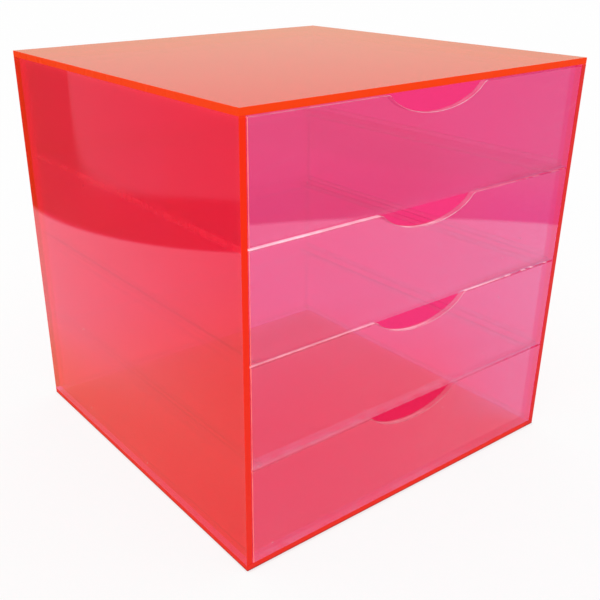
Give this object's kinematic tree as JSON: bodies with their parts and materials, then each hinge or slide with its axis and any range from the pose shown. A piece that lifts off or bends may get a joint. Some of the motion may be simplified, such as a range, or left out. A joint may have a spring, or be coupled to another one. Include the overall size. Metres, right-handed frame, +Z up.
{
  "type": "desk organizer with drawers",
  "caption": "Cube-shaped desk organizer: a see-through red-pink acrylic case holding stacked clear drawers that slide out by a finger cut-out in each front.",
  "frame": {"origin": "middle of the footprint, on the surface that the case stands on", "axes": "+Z up, drawers open towards -Y, +X to the right seen from the front"},
  "size_m": [0.2, 0.199, 0.2],
  "materials": {
    "case_acrylic": "polished fluorescent see-through acrylic sheet with glowing edges",
    "clear_acrylic": "polished clear acrylic sheet"
  },
  "bodies": {
    "case": {"case_top": "case_acrylic", "case_bottom": "case_acrylic", "case_left_side": "case_acrylic", "case_right_side": "case_acrylic", "case_back": "case_acrylic", "runner_1_left": "clear_acrylic", "runner_1_right": "clear_acrylic", "runner_2_left": "clear_acrylic", "runner_2_right": "clear_acrylic", "runner_3_left": "clear_acrylic", "runner_3_right": "clear_acrylic"},
    "drawer_1": {"drawer_1_front": "clear_acrylic", "drawer_1_floor": "clear_acrylic", "drawer_1_left_side": "clear_acrylic", "drawer_1_right_side": "clear_acrylic", "drawer_1_back": "clear_acrylic"},
    "drawer_2": {"drawer_2_front": "clear_acrylic", "drawer_2_floor": "clear_acrylic", "drawer_2_left_side": "clear_acrylic", "drawer_2_right_side": "clear_acrylic", "drawer_2_back": "clear_acrylic"},
    "drawer_3": {"drawer_3_front": "clear_acrylic", "drawer_3_floor": "clear_acrylic", "drawer_3_left_side": "clear_acrylic", "drawer_3_right_side": "clear_acrylic", "drawer_3_back": "clear_acrylic"},
    "drawer_4": {"drawer_4_front": "clear_acrylic", "drawer_4_floor": "clear_acrylic", "drawer_4_left_side": "clear_acrylic", "drawer_4_right_side": "clear_acrylic", "drawer_4_back": "clear_acrylic"}
  },
  "joints": [
    {"name": "drawer_1_slide", "type": "slide", "parent": "case", "child": "drawer_1", "axis": [0, -1, 0], "range_m": [0, 0.15]},
    {"name": "drawer_2_slide", "type": "slide", "parent": "case", "child": "drawer_2", "axis": [0, -1, 0], "range_m": [0, 0.15]},
    {"name": "drawer_3_slide", "type": "slide", "parent": "case", "child": "drawer_3", "axis": [0, -1, 0], "range_m": [0, 0.15]},
    {"name": "drawer_4_slide", "type": "slide", "parent": "case", "child": "drawer_4", "axis": [0, -1, 0], "range_m": [0, 0.15]}
  ]
}
